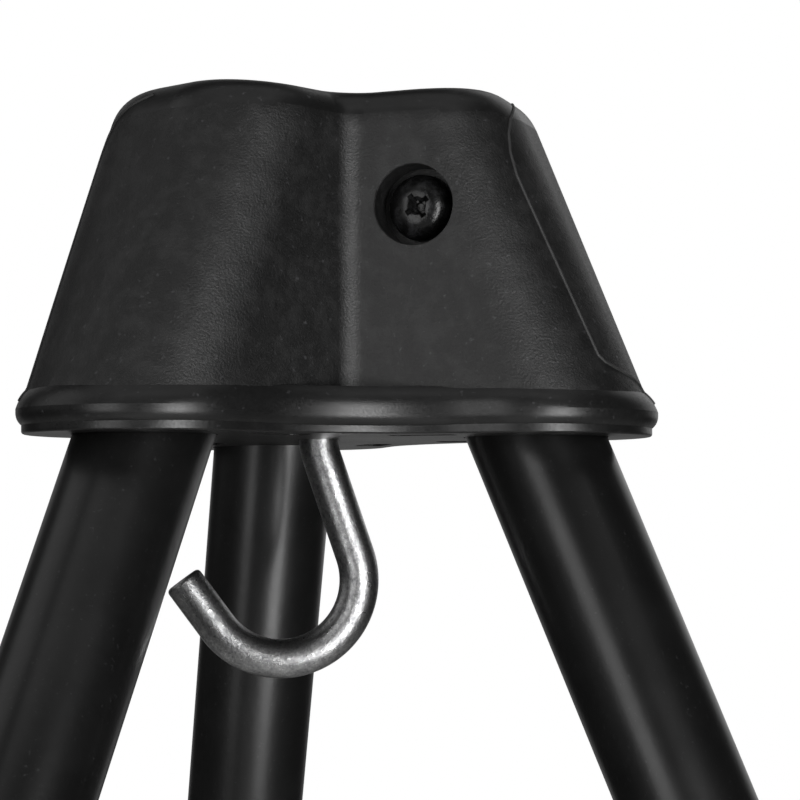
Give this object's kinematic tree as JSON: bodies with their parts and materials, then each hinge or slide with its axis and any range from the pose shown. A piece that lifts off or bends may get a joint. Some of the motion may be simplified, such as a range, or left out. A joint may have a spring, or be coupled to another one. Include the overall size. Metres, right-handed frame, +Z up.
{
  "type": "tripod hanging stand",
  "caption": "Free-standing tripod with a moulded three-lobed head, a swivelling steel hook under it and telescoping tube legs that clamp with thumb knobs and end in rubber feet.",
  "frame": {"origin": "centre of the footprint's bounding box, on the ground, midway between the rear foot's far edge and the two front feet's near edge", "axes": "+Z up, towards the head; +Y towards the rear leg; +X to the right, seen from the front"},
  "size_m": [1.157, 1.009, 1.4968],
  "materials": {
    "black_plastic": "moulded, finely grained, satin",
    "black_paint": "black powder coat, satin gloss",
    "zinc": "bright zinc plate, lightly mottled",
    "black_steel": "black oxide, satin",
    "rubber": "dull",
    "brass": "turned brass",
    "nylon": "natural nylon"
  },
  "bodies": {
    "stand": {"hub_shell": "black_plastic", "hub_cap": "black_plastic", "leg_screw_rear": "black_steel", "leg_nut_rear": "zinc", "upper_tube_rear": "black_paint", "clamp_collar_rear": "black_plastic", "thread_insert_rear": "brass", "leg_screw_left": "black_steel", "leg_nut_left": "zinc", "upper_tube_left": "black_paint", "clamp_collar_left": "black_plastic", "thread_insert_left": "brass", "leg_screw_right": "black_steel", "leg_nut_right": "zinc", "upper_tube_right": "black_paint", "clamp_collar_right": "black_plastic", "thread_insert_right": "brass"},
    "hook": {"hook": "zinc", "hook_washer": "zinc", "hook_nut": "zinc"},
    "lower_leg_rear": {"lower_tube_rear": "black_paint", "guide_bush_rear": "nylon", "foot_rear": "rubber"},
    "clamp_knob_rear": {"knob_rear": "black_plastic", "knob_stud_rear": "zinc"},
    "lower_leg_left": {"lower_tube_left": "black_paint", "guide_bush_left": "nylon", "foot_left": "rubber"},
    "clamp_knob_left": {"knob_left": "black_plastic", "knob_stud_left": "zinc"},
    "lower_leg_right": {"lower_tube_right": "black_paint", "guide_bush_right": "nylon", "foot_right": "rubber"},
    "clamp_knob_right": {"knob_right": "black_plastic", "knob_stud_right": "zinc"}
  },
  "joints": [
    {"name": "hook_swivel", "type": "hinge", "parent": "stand", "child": "hook", "pos_m": [0, -0.15949, 1.43], "axis": [0, 0, 1], "continuous": true},
    {"name": "leg_slide_rear", "type": "slide", "parent": "stand", "child": "lower_leg_rear", "axis": [0, 0.3837, -0.9235], "range_m": [-0.36, 0.24]},
    {"name": "knob_turn_rear", "type": "hinge", "parent": "stand", "child": "clamp_knob_rear", "pos_m": [0, 0.19746, 0.67644], "axis": [0, 0.9235, 0.3837], "range_deg": [0, 720]},
    {"name": "leg_slide_left", "type": "slide", "parent": "stand", "child": "lower_leg_left", "axis": [-0.3323, -0.1918, -0.9235], "range_m": [-0.36, 0.24]},
    {"name": "knob_turn_left", "type": "hinge", "parent": "stand", "child": "clamp_knob_left", "pos_m": [-0.30914, -0.33798, 0.67644], "axis": [-0.7998, -0.4617, 0.3837], "range_deg": [0, 720]},
    {"name": "leg_slide_right", "type": "slide", "parent": "stand", "child": "lower_leg_right", "axis": [0.3323, -0.1918, -0.9235], "range_m": [-0.36, 0.24]},
    {"name": "knob_turn_right", "type": "hinge", "parent": "stand", "child": "clamp_knob_right", "pos_m": [0.30914, -0.33798, 0.67644], "axis": [0.7998, -0.4617, 0.3837], "range_deg": [0, 720]}
  ]
}
